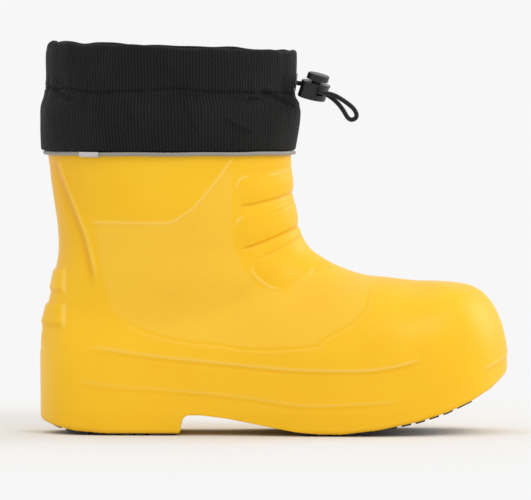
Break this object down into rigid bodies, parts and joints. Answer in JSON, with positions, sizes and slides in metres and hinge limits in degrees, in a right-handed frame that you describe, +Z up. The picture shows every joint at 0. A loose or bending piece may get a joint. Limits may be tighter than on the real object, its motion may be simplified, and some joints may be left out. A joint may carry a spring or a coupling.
{
  "type": "deck boot",
  "caption": "Ankle-high moulded deck boot with rubber treads, lining, footbed and a fabric cuff closed by an elastic drawcord and a sprung cord lock.",
  "frame": {"origin": "on the ground, at the middle of the boot's length and width, free cord left out", "axes": "+X towards the toe, +Z up, -Y towards the outer (lateral) side of this right-foot boot"},
  "size_m": [0.303, 0.1162, 0.2529],
  "materials": {
    "shell": "satin moulded foam, yellow",
    "tread": "matt black rubber",
    "lining": "brushed knit",
    "footbed": "moulded foam",
    "footbed_cover": "felted cloth",
    "cuff": "coarse woven nylon, black",
    "cuff_lining": "plain woven nylon, black",
    "piping": "grey reflective strip",
    "piping_core": "cotton cord",
    "tab": "woven ribbon",
    "eyelet": "dark plated",
    "cord": "braided",
    "cord_lock": "satin moulded",
    "spring": "bright wire"
  },
  "bodies": {
    "boot": {"boot_shell": "shell", "heel_tread": "tread", "forefoot_tread": "tread", "lining_sock": "lining", "footbed": "footbed", "footbed_cover": "footbed_cover", "cuff_outer": "cuff", "cuff_lining": "cuff_lining", "cuff_piping": "piping", "piping_core": "piping_core", "cuff_tab": "tab", "eyelet_grommet": "eyelet", "eyelet_washer": "eyelet", "drawcord": "cord"},
    "cord_leads": {"drawcord_leads": "cord"},
    "cord_lock": {"cord_lock_barrel": "cord_lock", "cord_lock_spring": "spring", "drawcord_loop": "cord"},
    "lock_button": {"cord_lock_plunger": "cord_lock"}
  },
  "joints": [
    {"name": "cord_lock_swing", "type": "hinge", "parent": "boot", "child": "cord_leads", "pos_m": [0.0145, 0, 0.2258], "axis": [0, 1, 0], "range_deg": [-45, 0]},
    {"name": "cord_lock_pull", "type": "slide", "parent": "cord_leads", "child": "cord_lock", "axis": [0.9511, 0, -0.309], "range_m": [0, 0.012], "stiffness_N_per_m": 130, "springref_m": -0.003, "deforming": ["drawcord_leads"]},
    {"name": "lock_button_press", "type": "slide", "parent": "cord_lock", "child": "lock_button", "axis": [-0.3105, 0.1302, -0.9416], "range_m": [0, 0.0015], "stiffness_N_per_m": 1500, "springref_m": -0.0015, "deforming": ["cord_lock_spring"]}
  ]
}
